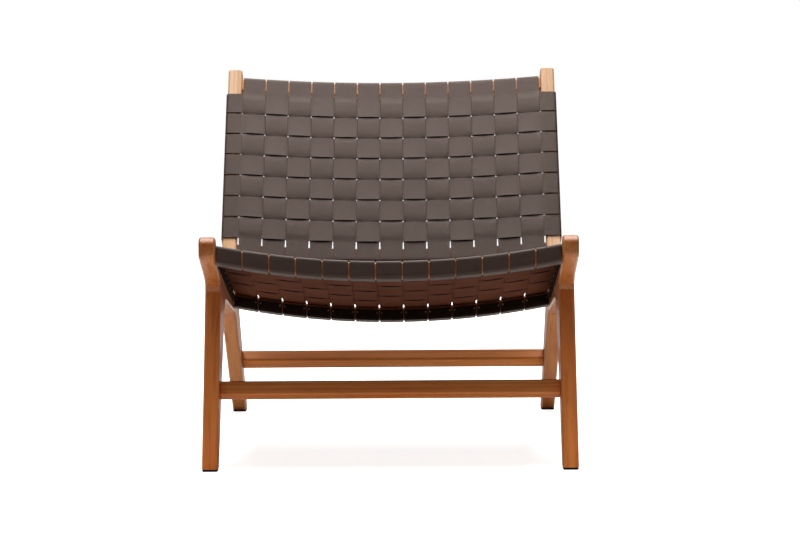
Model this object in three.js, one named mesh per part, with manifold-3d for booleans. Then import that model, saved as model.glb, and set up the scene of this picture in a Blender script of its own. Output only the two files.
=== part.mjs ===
// Low lounge chair: an oiled wood frame woven with leather straps.
// Millimetres, Z up. The sitter faces -Y, the floor is Z = 0 and the middle of the chair is X = 0.
// While the chair is built, Y = 0 is the front of the front feet.
import * as THREE from 'three';
import { mergeVertices } from 'three/addons/utils/BufferGeometryUtils.js';
import Module from 'manifold-3d';

const wasm = await Module();
wasm.setup();

// Frame
const clearWidth = 595; // between the two side frames
const frameThickness = 27.5; // of each side frame, across the chair
const edgeChamfer = 2.5; // on the long edges of every wooden piece
const fit = 0.3; // clearance between two pieces that touch

// Seat panel: where its surface meets the front rail, and how it falls to the rear
const seatSetback = 20;
const seatHeight = 389.2;
const seatAngle = 16.4;
const seatBow = 28.9; // how far the middle of the seat hangs below its sides

// Back panel: the lower edge of its lowest cross strap, and its lean from upright
const backSetback = 48.5; // from the front of the seat's rear rail, along the seat
const backRise = 117.3; // above the seat
const backAngle = 33.5;
const backBow = 22.5;

// Leather straps
const strapThickness = 2.2;
const crossWidth = 42.8; // of a strap that runs across the chair
const columnCount = 13; // lengthwise straps of each panel, as wide as fits
const seatColumnGap = 2.6;
const seatColumnMargin = 1.2; // from the outer lengthwise straps to the side frames
const backColumnGap = 3;
const backColumnMargin = 4.2;
const seatRowCount = 8;
const seatRowGap = 4;
const seatFirstRowGap = 2.8; // from the leather of the front rail to the first cross strap
const seatLastRowGap = 22.3; // from the last cross strap to the rear rail
const backRowCount = 7;
const backRowGap = 4.4;
const weaveEase = 0.5; // how far past a crossing a strap starts to dip
const endDrop = 6; // a strap end stops this far below the top of its bar
const endInset = 5; // a strap end stops this far from the edge of the back of its bar

// Bowed rails
const seatFrontRailDepth = 27;
const seatFrontRailHeight = 27;
const seatRearRailDepth = 26;
const seatRearRailHeight = 22.5;
const backRailWidth = 28; // measured up the back
const backRailDepth = 22;
const backTopRailGap = 9.8; // between the highest cross strap and the top rail
const backBottomRailGap = 13.2; // between the lowest cross strap and the bottom rail

// Side rails
const sideBarDepth = 17; // the part above the slot, which the straps go round
const slotHeight = 5;
const slotOverrun = 4; // beyond the first and the last cross strap
const noseReach = 25; // ahead of the seat's front point
const noseRise = 15.3; // above the seat's front point
const noseLength = 19; // from its front to its highest line
const noseFlat = 14; // the upright part of its front
const noseRound = 14; // the height of the round over the front
const noseUnderRound = 12;
const noseChinShare = 0.33; // how full the round under the front is
const throatShares = [0.41, 0.36]; // where the underside bends, from the nose to the front leg
const throatEndShare = 0.2; // how long it then runs in line with the leg
const noseBack = 31; // where its back meets the straight top edge, along the seat
const railDepthFront = 47.5; // at the back of the front leg
const railDepthFrontPlace = 252;
const railDepthRear = 29.5; // at the knee of the rear leg
const kneeSetback = 40; // from the front of the seat's rear rail, along the seat
const kneeRound = 13;

// Front legs
const frontFootDepth = 28;
const frontJointSetback = 115;
const frontJointDrop = 88.2; // below the seat's front point
const frontJointWidth = 93;
const frontJointAngle = 25;

// Rear legs
const rearFootSplay = 251.5; // from the knee to the front of the foot
const rearFootDepth = 38;
const rearHeadSetback = 32; // from the knee to the end of the side rail, along the seat
const rearHeadLength = 53; // of the top of the leg, along the seat
const rearHeadRound = 14;

// Back posts
const postDepth = 29;
const postRise = 21; // above the top rail

// Stretchers
const stretcherSide = 27; // of their section, which stands square to the legs
const frontStretcherHeight = 130;
const rearStretcherHeight = 116.5;
const frontStretcherShare = 0.56; // of the way from the front to the back edge of the leg
const rearStretcherShare = 0.64;

// Joints between the wooden pieces
const tenonLength = 15;
const shortTenonLength = 9;
const tenonWidth = 15;
const tenonThickness = 11;
const legTenonWidth = 42;
const legTenonLength = 24;
const railTenonWidth = 20;
const railTenonLength = 20;
const postTenonWidth = 15;
const postTenonLength = 14;
const postTenonThickness = 8;
const overrun = 6; // how far a cutter or a tenon reaches into the piece it belongs to
const trimReach = 220; // of the blocks that cut the side frames' pieces to their joints

// Foot pads
const padThickness = 3.8;
const padInset = 0.6;

const weldDistance = 0.003; // vertices nearer than this are one

const halfWidth = clearWidth / 2;
const lift = strapThickness / 2 + fit / 2; // of a strap from the middle of the weave
const seatOnBar = strapThickness / 2 + fit; // from the middle of a strap to the wood under it
const footBase = padThickness + fit;

// Panels: u runs along a panel, n stands on it and x runs across the chair
function makePanel(origin, degrees, bow) {
  const angle = THREE.MathUtils.degToRad(degrees);
  return {
    origin,
    along: new THREE.Vector2(Math.cos(angle), Math.sin(angle)),
    normal: new THREE.Vector2(-Math.sin(angle), Math.cos(angle)),
    bow,
  };
}

const seatRowPitch = crossWidth + seatRowGap;
const backRowPitch = crossWidth + backRowGap;
const seatFirstRow = seatFrontRailDepth + seatOnBar + strapThickness / 2 + seatFirstRowGap + crossWidth / 2;
const seatLastRow = seatFirstRow + (seatRowCount - 1) * seatRowPitch;
const seatRearRailPlace = seatLastRow + crossWidth / 2 + seatLastRowGap;

const seat = makePanel(new THREE.Vector2(seatSetback, seatHeight), -seatAngle, seatBow);
const backStart = sidePoint(seat, seatRearRailPlace + backSetback, backRise);
const back = makePanel(backStart, 90 - backAngle, backBow);

// A point of the side view, without the bow
function sidePoint(panel, u, n) {
  return panel.origin.clone().addScaledVector(panel.along, u).addScaledVector(panel.normal, n);
}

// How far a panel is hollowed at x: a parabola that ends at the side frames
function hollow(panel, x) {
  const share = Math.min(1, Math.abs(x) / halfWidth);
  return panel.bow * (1 - share * share);
}

// Moves a geometry whose vertices are (x, u, n) of a panel to its place in the chair
function layOnPanel(geometry, panel) {
  const places = geometry.attributes.position;
  for (let i = 0; i < places.count; i += 1) {
    const x = places.getX(i);
    const point = sidePoint(panel, places.getY(i), places.getZ(i) - hollow(panel, x));
    places.setXYZ(i, x, point.x, point.y);
  }
  return geometry;
}

// Turns an extrusion of a side outline so that its depth runs along X
const outlineToSide = new THREE.Matrix4().set(0, 0, 1, 0, 1, 0, 0, 0, 0, 1, 0, 0, 0, 0, 0, 1);

function extrudeAcross(shape, start, end, steps) {
  const geometry = new THREE.ExtrudeGeometry(shape, { depth: end - start, steps, bevelEnabled: false });
  geometry.translate(0, 0, start);
  return geometry.applyMatrix4(outlineToSide);
}

// A plate of a side frame: its outline in Y and Z, with chamfered edges
function framePlate(shape, side) {
  const inner = Math.min(side * halfWidth, side * (halfWidth + frameThickness));
  const geometry = new THREE.ExtrudeGeometry(shape, {
    depth: frameThickness - 2 * edgeChamfer,
    curveSegments: 7,
    bevelThickness: edgeChamfer,
    bevelSize: edgeChamfer,
    bevelOffset: -edgeChamfer,
    bevelSegments: 1,
  });
  geometry.translate(0, 0, inner + edgeChamfer);
  return geometry.applyMatrix4(outlineToSide);
}

function rectangle(low, high) {
  return new THREE.Shape([
    low.clone(),
    new THREE.Vector2(high.x, low.y),
    high.clone(),
    new THREE.Vector2(low.x, high.y),
  ]);
}

// A rectangle with cut corners
function chamferedRectangle(low, high, chamfer) {
  return new THREE.Shape([
    new THREE.Vector2(low.x + chamfer, low.y),
    new THREE.Vector2(high.x - chamfer, low.y),
    new THREE.Vector2(high.x, low.y + chamfer),
    new THREE.Vector2(high.x, high.y - chamfer),
    new THREE.Vector2(high.x - chamfer, high.y),
    new THREE.Vector2(low.x + chamfer, high.y),
    new THREE.Vector2(low.x, high.y - chamfer),
    new THREE.Vector2(low.x, low.y + chamfer),
  ]);
}

// A straight block between two X places, with its section turned along a direction of the side view
function turnedBlock(middle, along, width, thickness, start, end, chamfer = 0) {
  const normal = new THREE.Vector2(-along.y, along.x);
  const high = new THREE.Vector2(width / 2, thickness / 2);
  const low = high.clone().negate();
  const section = chamfer > 0 ? chamferedRectangle(low, high, chamfer) : rectangle(low, high);
  const placed = section.getPoints().map((corner) => (
    middle.clone().addScaledVector(along, corner.x).addScaledVector(normal, corner.y)
  ));
  return extrudeAcross(new THREE.Shape(placed), Math.min(start, end), Math.max(start, end), 1);
}

// Booleans
function toSolid(geometry) {
  const bare = geometry.clone();
  bare.deleteAttribute('normal');
  bare.deleteAttribute('uv');
  const merged = mergeVertices(bare, weldDistance);
  return new wasm.Manifold(new wasm.Mesh({
    numProp: 3,
    vertProperties: new Float32Array(merged.attributes.position.array),
    triVerts: new Uint32Array(merged.index.array),
  }));
}

function toGeometry(solid) {
  const mesh = solid.getMesh();
  const geometry = new THREE.BufferGeometry();
  geometry.setAttribute('position', new THREE.BufferAttribute(mesh.vertProperties.slice(), 3));
  geometry.setIndex(new THREE.BufferAttribute(mesh.triVerts.slice(), 1));
  return geometry;
}

function cutAndJoin(geometry, cutters, additions) {
  let solid = toSolid(geometry);
  for (const cutter of cutters) {
    solid = solid.subtract(toSolid(cutter));
  }
  for (const addition of additions) {
    solid = solid.add(toSolid(addition));
  }
  return toGeometry(solid);
}

// Bars that straps go round, as sections in (u or x, n)
function makeBar(start, end, depth) {
  return { low: new THREE.Vector2(start, -seatOnBar - depth), high: new THREE.Vector2(end, -seatOnBar) };
}

const seatFrontBar = makeBar(0, seatFrontRailDepth, seatFrontRailHeight);
const seatRearBar = makeBar(seatRearRailPlace, seatRearRailPlace + seatRearRailDepth, seatRearRailHeight);
const backTop = (backRowCount - 1) * backRowPitch + crossWidth;
const backTopBarStart = backTop + backTopRailGap;
const backTopBar = makeBar(backTopBarStart, backTopBarStart + backRailWidth, backRailDepth);
const backBottomBar = makeBar(-backBottomRailGap - backRailWidth, -backBottomRailGap, backRailDepth);
const seatSideBar = makeBar(halfWidth, halfWidth + frameThickness, sideBarDepth);
const postBar = makeBar(halfWidth, halfWidth + frameThickness, postDepth);

// The middle line of a strap round a bar. It starts over the bar, heads outwards and turns back
// behind the bar. With three faces it also comes up the inner side.
function wrapPath(bar, outwards, faces) {
  const cut = edgeChamfer + seatOnBar * (2 - Math.SQRT2);
  const inner = outwards > 0 ? bar.low.x : bar.high.x;
  const outer = outwards > 0 ? bar.high.x : bar.low.x;
  const farSide = outer + outwards * seatOnBar;
  const nearSide = inner - outwards * seatOnBar;
  const bottom = bar.low.y - seatOnBar;
  const path = [
    new THREE.Vector2(inner, 0),
    new THREE.Vector2(farSide - outwards * cut, 0),
    new THREE.Vector2(farSide, -cut),
    new THREE.Vector2(farSide, bottom + cut),
    new THREE.Vector2(farSide - outwards * cut, bottom),
  ];
  if (faces < 3) {
    path.push(new THREE.Vector2(inner + outwards * endInset, bottom));
    return path;
  }
  path.push(new THREE.Vector2(nearSide + outwards * cut, bottom));
  path.push(new THREE.Vector2(nearSide, bottom + cut));
  path.push(new THREE.Vector2(nearSide, bar.high.y - endDrop));
  return path;
}

// The middle line of a strap through the weave: flat over or under each strap that it crosses
function weavePath(places, width, firstLift) {
  const path = [];
  places.forEach((place, index) => {
    const height = index % 2 === 0 ? firstLift : -firstLift;
    path.push(new THREE.Vector2(place - width / 2 - weaveEase, height));
    path.push(new THREE.Vector2(place + width / 2 + weaveEase, height));
  });
  return path;
}

// The outline of a strap seen edge on, from its middle line
function ribbonShape(path) {
  const left = [];
  const right = [];
  path.forEach((point, index) => {
    const before = path[Math.max(0, index - 1)];
    const after = path[Math.min(path.length - 1, index + 1)];
    const arriving = (index > 0 ? point.clone().sub(before) : after.clone().sub(point)).normalize();
    const leaving = (index < path.length - 1 ? after.clone().sub(point) : arriving.clone()).normalize();
    const first = new THREE.Vector2(-arriving.y, arriving.x);
    const second = new THREE.Vector2(-leaving.y, leaving.x);
    const mitre = first.clone().add(second).divideScalar(1 + first.dot(second));
    left.push(point.clone().addScaledVector(mitre, strapThickness / 2));
    right.push(point.clone().addScaledVector(mitre, -strapThickness / 2));
  });
  return new THREE.Shape([...left, ...right.reverse()]);
}

// Places of the straps
function evenPlaces(first, pitch, count) {
  return Array.from({ length: count }, (_, index) => first + index * pitch);
}

// The lengthwise straps of a panel: their width and the places of their middles
function makeColumns(gap, margin) {
  const pitch = (clearWidth + gap - 2 * margin) / columnCount;
  return { width: pitch - gap, places: evenPlaces((1 - columnCount) / 2 * pitch, pitch, columnCount) };
}

const seatColumns = makeColumns(seatColumnGap, seatColumnMargin);
const backColumns = makeColumns(backColumnGap, backColumnMargin);
const seatRows = evenPlaces(seatFirstRow, seatRowPitch, seatRowCount);
const backRows = evenPlaces(crossWidth / 2, backRowPitch, backRowCount);

const seatWeave = { panel: seat, rows: seatRows, columns: seatColumns, faces: 3 };
const backWeave = { panel: back, rows: backRows, columns: backColumns, faces: 2 };
const strapPaths = {
  seatLengthwise: { ...seatWeave, start: seatFrontBar, end: seatRearBar },
  backLengthwise: { ...backWeave, start: backBottomBar, end: backTopBar },
  seatCross: { ...seatWeave, bar: seatSideBar },
  backCross: { ...backWeave, bar: postBar },
};

// A strap that runs along its panel, from one bowed rail to the other
function lengthwisePath(kind, firstLift) {
  return [
    ...wrapPath(kind.start, -1, kind.faces).reverse(),
    ...weavePath(kind.rows, crossWidth, firstLift),
    ...wrapPath(kind.end, 1, kind.faces),
  ];
}

function lengthwiseStrap(kind, place, firstLift) {
  const shape = ribbonShape(lengthwisePath(kind, firstLift));
  const half = kind.columns.width / 2;
  return layOnPanel(extrudeAcross(shape, place - half, place + half, 1), kind.panel);
}

// A strap that runs across the chair, from one side frame to the other
function crossPath(kind, firstLift) {
  const rightEnd = wrapPath(kind.bar, 1, kind.faces);
  const leftEnd = rightEnd.map((point) => new THREE.Vector2(-point.x, point.y)).reverse();
  const { places, width } = kind.columns;
  return [...leftEnd, ...weavePath(places, width, firstLift), ...rightEnd];
}

function crossStrap(kind, place, firstLift) {
  const geometry = new THREE.ExtrudeGeometry(ribbonShape(crossPath(kind, firstLift)), {
    depth: crossWidth,
    bevelEnabled: false,
  });
  geometry.translate(0, 0, -crossWidth / 2);
  geometry.rotateX(Math.PI / 2);
  geometry.translate(0, place, 0);
  return layOnPanel(geometry, kind.panel);
}

// Bowed rails, with a tenon at each end
function railTenon(panel, bar, side, length, clearance) {
  const middle = bar.low.clone().add(bar.high).multiplyScalar(1 / 2);
  const half = new THREE.Vector2(tenonWidth / 2 + clearance, tenonThickness / 2 + clearance);
  const shape = rectangle(middle.clone().sub(half), middle.clone().add(half));
  const inner = side * (halfWidth - overrun);
  const outer = side * (halfWidth + length + clearance);
  return layOnPanel(extrudeAcross(shape, Math.min(inner, outer), Math.max(inner, outer), 1), panel);
}

function bowedRail(panel, bar, length) {
  const shape = chamferedRectangle(bar.low, bar.high, edgeChamfer);
  const rail = layOnPanel(extrudeAcross(shape, fit - halfWidth, halfWidth - fit, columnCount), panel);
  return cutAndJoin(rail, [], [-1, 1].map((side) => railTenon(panel, bar, side, length, 0)));
}

// Joint corners of the side view
function towards(from, to, distance) {
  return from.clone().addScaledVector(direction(from, to), distance);
}

function meet(point, along, otherPoint, otherAlong) {
  const across = along.cross(otherAlong);
  const distance = otherPoint.clone().sub(point).cross(otherAlong) / across;
  return point.clone().addScaledVector(along, distance);
}

function direction(from, to) {
  return to.clone().sub(from).normalize();
}

// Carries two edges of a piece past its end, to a square end that a trim block then cuts away
function carriedPast(near, nearDirection, far, farDirection) {
  const lag = Math.max(0, far.clone().sub(near).dot(nearDirection));
  const nearEnd = near.clone().addScaledVector(nearDirection, lag + overrun);
  const square = new THREE.Vector2(-nearDirection.y, nearDirection.x);
  return [nearEnd, meet(nearEnd, square, far, farDirection)];
}

// A block beyond a point of the side view, as seen in the direction that it faces
function trimBlock(point, facing) {
  const outside = halfWidth + frameThickness + overrun;
  const middle = point.clone().addScaledVector(facing, trimReach / 2);
  return turnedBlock(middle, facing, trimReach, trimReach, -outside, outside);
}

const frontJoint = {};
frontJoint.angle = THREE.MathUtils.degToRad(frontJointAngle);
frontJoint.along = new THREE.Vector2(Math.cos(frontJoint.angle), -Math.sin(frontJoint.angle));
frontJoint.front = new THREE.Vector2(frontJointSetback, seatHeight - frontJointDrop);
frontJoint.rear = frontJoint.front.clone().addScaledVector(frontJoint.along, frontJointWidth);
frontJoint.middle = frontJoint.front.clone().lerp(frontJoint.rear, 1 / 2);
frontJoint.up = new THREE.Vector2(-frontJoint.along.y, frontJoint.along.x);
const frontFoot = {
  front: new THREE.Vector2(0, footBase),
  rear: new THREE.Vector2(frontFootDepth, footBase),
};

const frontLegEdges = {
  front: direction(frontFoot.front, frontJoint.front),
  rear: direction(frontFoot.rear, frontJoint.rear),
};

const railTop = (u) => sidePoint(seat, u, -seatOnBar);
const railUnder = (u, depth) => sidePoint(seat, u, -seatOnBar - depth);
const kneePlace = seatRearRailPlace + kneeSetback;
const knee = railUnder(kneePlace, railDepthRear);
const rearFoot = {
  front: new THREE.Vector2(knee.x + rearFootSplay, footBase),
  rear: new THREE.Vector2(knee.x + rearFootSplay + rearFootDepth, footBase),
};

const headEnd = railTop(kneePlace + rearHeadSetback + rearHeadLength);
const rearLegEdges = {
  front: direction(rearFoot.front, knee),
  rear: direction(rearFoot.rear, headEnd),
};

const rearJoint = {};
rearJoint.top = railTop(kneePlace + rearHeadSetback);
rearJoint.down = rearFoot.front.clone().lerp(rearFoot.rear, 1 / 2).sub(rearJoint.top).normalize();
rearJoint.along = new THREE.Vector2(-rearJoint.down.y, rearJoint.down.x);
rearJoint.under = meet(rearJoint.top, rearJoint.along, knee, rearLegEdges.front);
rearJoint.middle = rearJoint.top.clone().lerp(rearJoint.under, 1 / 2);

// The middle of a side frame, across the chair
const plateMiddle = halfWidth + frameThickness / 2;

function legTenon(side, clearance) {
  const half = tenonThickness / 2 + clearance;
  const reach = legTenonLength + clearance;
  const middle = frontJoint.middle.clone().addScaledVector(frontJoint.up, (reach - overrun) / 2);
  return turnedBlock(
    middle, frontJoint.up, reach + overrun, legTenonWidth + 2 * clearance,
    side * plateMiddle - half, side * plateMiddle + half,
  );
}

function railEndTenon(side, clearance) {
  const half = tenonThickness / 2 + clearance;
  const reach = railTenonLength + clearance;
  const middle = rearJoint.middle.clone().addScaledVector(rearJoint.down, (reach - overrun) / 2);
  return turnedBlock(
    middle, rearJoint.down, reach + overrun, railTenonWidth + 2 * clearance,
    side * plateMiddle - half, side * plateMiddle + half,
  );
}

// The posts stand on the top edge of the side rails
const postFrontFoot = meet(
  sidePoint(back, 0, -seatOnBar), back.along, railTop(0), seat.along,
);
const postRearFoot = meet(
  sidePoint(back, 0, -seatOnBar - postDepth), back.along, railTop(0), seat.along,
);

// The post's tenon lies outside the rear rail's tenon, so that the two pass each other
function postTenon(side, clearance) {
  const outer = halfWidth + frameThickness - edgeChamfer - postTenonThickness - clearance;
  const reach = postTenonLength + clearance;
  const middle = postFrontFoot.clone().lerp(postRearFoot, 1 / 2);
  middle.addScaledVector(back.along, (overrun - reach) / 2);
  return turnedBlock(
    middle, back.along, reach + overrun, postTenonWidth + 2 * clearance,
    side * outer, side * (outer + postTenonThickness + 2 * clearance),
  );
}

function sideRail(side) {
  const noseFront = seatSetback - noseReach;
  const noseTop = seatHeight + noseRise;
  const crown = new THREE.Vector2(noseFront + noseLength, noseTop);
  const noseEnd = railTop(noseBack);
  const shoulder = new THREE.Vector2(noseFront, noseTop - noseRound);
  const chin = new THREE.Vector2(noseFront, shoulder.y - noseFlat);
  const throat = new THREE.Vector2(noseFront + noseUnderRound, chin.y - noseUnderRound);
  const underFront = railUnder(railDepthFrontPlace, railDepthFront);
  const underEase = towards(knee, underFront, kneeRound);
  const throatReach = frontJoint.front.clone().sub(throat);
  const shape = new THREE.Shape();
  const [rearTop, rearUnder] = carriedPast(rearJoint.top, seat.along, knee, rearLegEdges.front);
  const down = frontLegEdges.front.clone().negate();
  const [frontUnder, middleUnder] = carriedPast(frontJoint.front, down, frontJoint.rear, frontLegEdges.rear);
  shape.moveTo(rearTop.x, rearTop.y);
  shape.lineTo(noseEnd.x, noseEnd.y);
  const rise = towards(noseEnd, rearJoint.top, -noseRise);
  shape.bezierCurveTo(rise.x, rise.y, crown.x + noseRise, crown.y, crown.x, crown.y);
  shape.bezierCurveTo(
    crown.x - noseLength / 2, crown.y,
    shoulder.x, shoulder.y + noseRound / 2,
    shoulder.x, shoulder.y,
  );
  shape.lineTo(chin.x, chin.y);
  shape.quadraticCurveTo(chin.x, throat.y + noseUnderRound * noseChinShare, throat.x, throat.y);
  const throatEnd = throatReach.length() * throatEndShare;
  const hollowEnd = frontJoint.front.clone().addScaledVector(frontLegEdges.front, throatEnd);
  shape.bezierCurveTo(
    throat.x + throatReach.x * throatShares[0], throat.y + throatReach.y * throatShares[1],
    hollowEnd.x, hollowEnd.y,
    frontJoint.front.x, frontJoint.front.y,
  );
  shape.lineTo(frontUnder.x, frontUnder.y);
  shape.lineTo(middleUnder.x, middleUnder.y);
  shape.lineTo(frontJoint.rear.x, frontJoint.rear.y);
  const crotch = meet(frontJoint.rear, frontLegEdges.rear, underFront, direction(underFront, knee));
  shape.quadraticCurveTo(crotch.x, crotch.y, underFront.x, underFront.y);
  shape.lineTo(underEase.x, underEase.y);
  shape.quadraticCurveTo(knee.x, knee.y, rearJoint.under.x, rearJoint.under.y);
  shape.lineTo(rearUnder.x, rearUnder.y);
  shape.closePath();
  const slotStart = seatFirstRow - crossWidth / 2 - slotOverrun;
  const slotEnd = seatLastRow + crossWidth / 2 + slotOverrun;
  const slot = new THREE.Path([
    railUnder(slotStart, sideBarDepth),
    railUnder(slotEnd, sideBarDepth),
    railUnder(slotEnd, sideBarDepth + slotHeight),
    railUnder(slotStart, sideBarDepth + slotHeight),
  ]);
  shape.holes.push(slot);
  return cutAndJoin(
    framePlate(shape, side),
    [
      trimBlock(frontJoint.middle, frontJoint.up.clone().negate()),
      trimBlock(rearJoint.middle, rearJoint.down),
      legTenon(side, fit),
      postTenon(side, fit),
      railTenon(seat, seatFrontBar, side, tenonLength, fit),
      railTenon(seat, seatRearBar, side, shortTenonLength, fit),
    ],
    [railEndTenon(side, 0)],
  );
}

// Legs
function edgePoint(top, bottom, height) {
  return bottom.clone().lerp(top, (height - bottom.y) / (top.y - bottom.y));
}

function stretcherSeat(frontTop, rearTop, foot, height, share) {
  const front = edgePoint(frontTop, foot.front, height);
  const rear = edgePoint(rearTop, foot.rear, height);
  const legDirection = direction(foot.front, frontTop).add(direction(foot.rear, rearTop)).normalize();
  return { middle: front.lerp(rear, share), direction: legDirection };
}

const frontStretcherSeat = stretcherSeat(
  frontJoint.front, frontJoint.rear, frontFoot, frontStretcherHeight, frontStretcherShare,
);
const rearStretcherSeat = stretcherSeat(knee, headEnd, rearFoot, rearStretcherHeight, rearStretcherShare);

function stretcherTenon(place, side, clearance) {
  const start = side * (halfWidth - overrun);
  const end = side * (halfWidth + tenonLength + clearance);
  return turnedBlock(
    place.middle, place.direction, tenonWidth + 2 * clearance, tenonThickness + 2 * clearance, start, end,
  );
}

function stretcher(place) {
  const end = halfWidth - fit;
  const bar = turnedBlock(
    place.middle, place.direction, stretcherSide, stretcherSide, -end, end, edgeChamfer,
  );
  return cutAndJoin(bar, [], [-1, 1].map((side) => stretcherTenon(place, side, 0)));
}

const floorward = new THREE.Vector2(0, -1);

function frontLeg(side) {
  const { front, rear } = frontLegEdges;
  const shape = new THREE.Shape([
    ...carriedPast(frontFoot.front, front.clone().negate(), frontFoot.rear, rear),
    ...carriedPast(frontJoint.rear, rear, frontJoint.front, front),
  ]);
  const top = frontJoint.middle.clone().addScaledVector(frontJoint.up, -fit);
  return cutAndJoin(
    framePlate(shape, side),
    [
      trimBlock(top, frontJoint.up),
      trimBlock(frontFoot.front, floorward),
      stretcherTenon(frontStretcherSeat, side, fit),
    ],
    [legTenon(side, 0)],
  );
}

function rearLeg(side) {
  const { front, rear } = rearLegEdges;
  const [rearEnd, frontEnd] = carriedPast(rearFoot.rear, rear.clone().negate(), rearFoot.front, front);
  const [underEnd, topEnd] = carriedPast(rearJoint.under, front, rearJoint.top, seat.along);
  const headStart = towards(headEnd, rearJoint.top, rearHeadRound);
  const headFinish = towards(headEnd, rearFoot.rear, rearHeadRound);
  const shape = new THREE.Shape();
  shape.moveTo(frontEnd.x, frontEnd.y);
  shape.lineTo(rearEnd.x, rearEnd.y);
  shape.lineTo(headFinish.x, headFinish.y);
  shape.quadraticCurveTo(headEnd.x, headEnd.y, headStart.x, headStart.y);
  shape.lineTo(topEnd.x, topEnd.y);
  shape.lineTo(underEnd.x, underEnd.y);
  shape.closePath();
  const top = rearJoint.middle.clone().addScaledVector(rearJoint.down, fit);
  return cutAndJoin(
    framePlate(shape, side),
    [
      trimBlock(top, rearJoint.down.clone().negate()),
      trimBlock(rearFoot.front, floorward),
      stretcherTenon(rearStretcherSeat, side, fit),
      railEndTenon(side, fit),
    ],
    [],
  );
}

function backPost(side) {
  const top = backTopBar.high.x + postRise;
  const upward = back.along;
  const shape = new THREE.Shape([
    ...carriedPast(postRearFoot, upward.clone().negate(), postFrontFoot, upward).reverse(),
    sidePoint(back, top, -seatOnBar - postDepth),
    sidePoint(back, top, -seatOnBar),
  ]);
  const foot = postFrontFoot.clone().addScaledVector(seat.normal, fit);
  return cutAndJoin(
    framePlate(shape, side),
    [
      trimBlock(foot, seat.normal.clone().negate()),
      railTenon(back, backTopBar, side, tenonLength, fit),
      railTenon(back, backBottomBar, side, tenonLength, fit),
    ],
    [postTenon(side, 0)],
  );
}

function footPad(foot, side) {
  const shape = chamferedRectangle(
    new THREE.Vector2(side * plateMiddle - frameThickness / 2 + padInset, foot.front.x + padInset),
    new THREE.Vector2(side * plateMiddle + frameThickness / 2 - padInset, foot.rear.x - padInset),
    edgeChamfer,
  );
  return new THREE.ExtrudeGeometry(shape, { depth: padThickness, bevelEnabled: false });
}

// Finishes
const finishes = {
  frame: { color: 0xa8683a, roughness: 0.5, metalness: 0 },
  leather: { color: 0x5d5049, roughness: 0.55, metalness: 0 },
  rubber: { color: 0x161616, roughness: 0.8, metalness: 0 },
};

const chair = new THREE.Group();

function addPiece(name, geometry, finish) {
  const mesh = new THREE.Mesh(geometry, new THREE.MeshStandardMaterial(finishes[finish]));
  mesh.name = name;
  chair.add(mesh);
}

// Side frames
for (const [word, side] of [['left', -1], ['right', 1]]) {
  addPiece(`seat_side_rail_${word}`, sideRail(side), 'frame');
  addPiece(`front_leg_${word}`, frontLeg(side), 'frame');
  addPiece(`rear_leg_${word}`, rearLeg(side), 'frame');
  addPiece(`back_post_${word}`, backPost(side), 'frame');
  addPiece(`foot_pad_front_${word}`, footPad(frontFoot, side), 'rubber');
  addPiece(`foot_pad_rear_${word}`, footPad(rearFoot, side), 'rubber');
}

// Cross pieces
addPiece('seat_front_rail', bowedRail(seat, seatFrontBar, tenonLength), 'frame');
addPiece('seat_rear_rail', bowedRail(seat, seatRearBar, shortTenonLength), 'frame');
addPiece('back_top_rail', bowedRail(back, backTopBar, tenonLength), 'frame');
addPiece('back_bottom_rail', bowedRail(back, backBottomBar, tenonLength), 'frame');
addPiece('front_stretcher', stretcher(frontStretcherSeat), 'frame');
addPiece('rear_stretcher', stretcher(rearStretcherSeat), 'frame');

// Straps: a plain weave, each strap starting on the other side than its neighbour
function addStraps(name, kind, places, makeStrap, startSign) {
  places.forEach((place, index) => {
    const firstLift = (index % 2 === 0 ? startSign : -startSign) * lift;
    addPiece(`${name}_${index + 1}`, makeStrap(kind, place, firstLift), 'leather');
  });
}

addStraps('seat_strap', strapPaths.seatLengthwise, seatColumns.places, lengthwiseStrap, 1);
addStraps('seat_cross_strap', strapPaths.seatCross, seatRows, crossStrap, -1);
addStraps('back_strap', strapPaths.backLengthwise, backColumns.places, lengthwiseStrap, 1);
addStraps('back_cross_strap', strapPaths.backCross, backRows, crossStrap, -1);

// The origin is on the floor under the middle of the chair
const reach = new THREE.Box3().setFromObject(chair);
chair.position.y = -(reach.min.y + reach.max.y) / 2;

export default chair;
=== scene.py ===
# Low lounge chair: an oiled wood frame woven with leather straps, dressed for its picture.
# Metres, Z up. The sitter faces -Y, the floor is Z = 0 and the middle of the chair is X = 0.
import math

import bmesh
import bpy
from mathutils import Matrix, Vector


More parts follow.
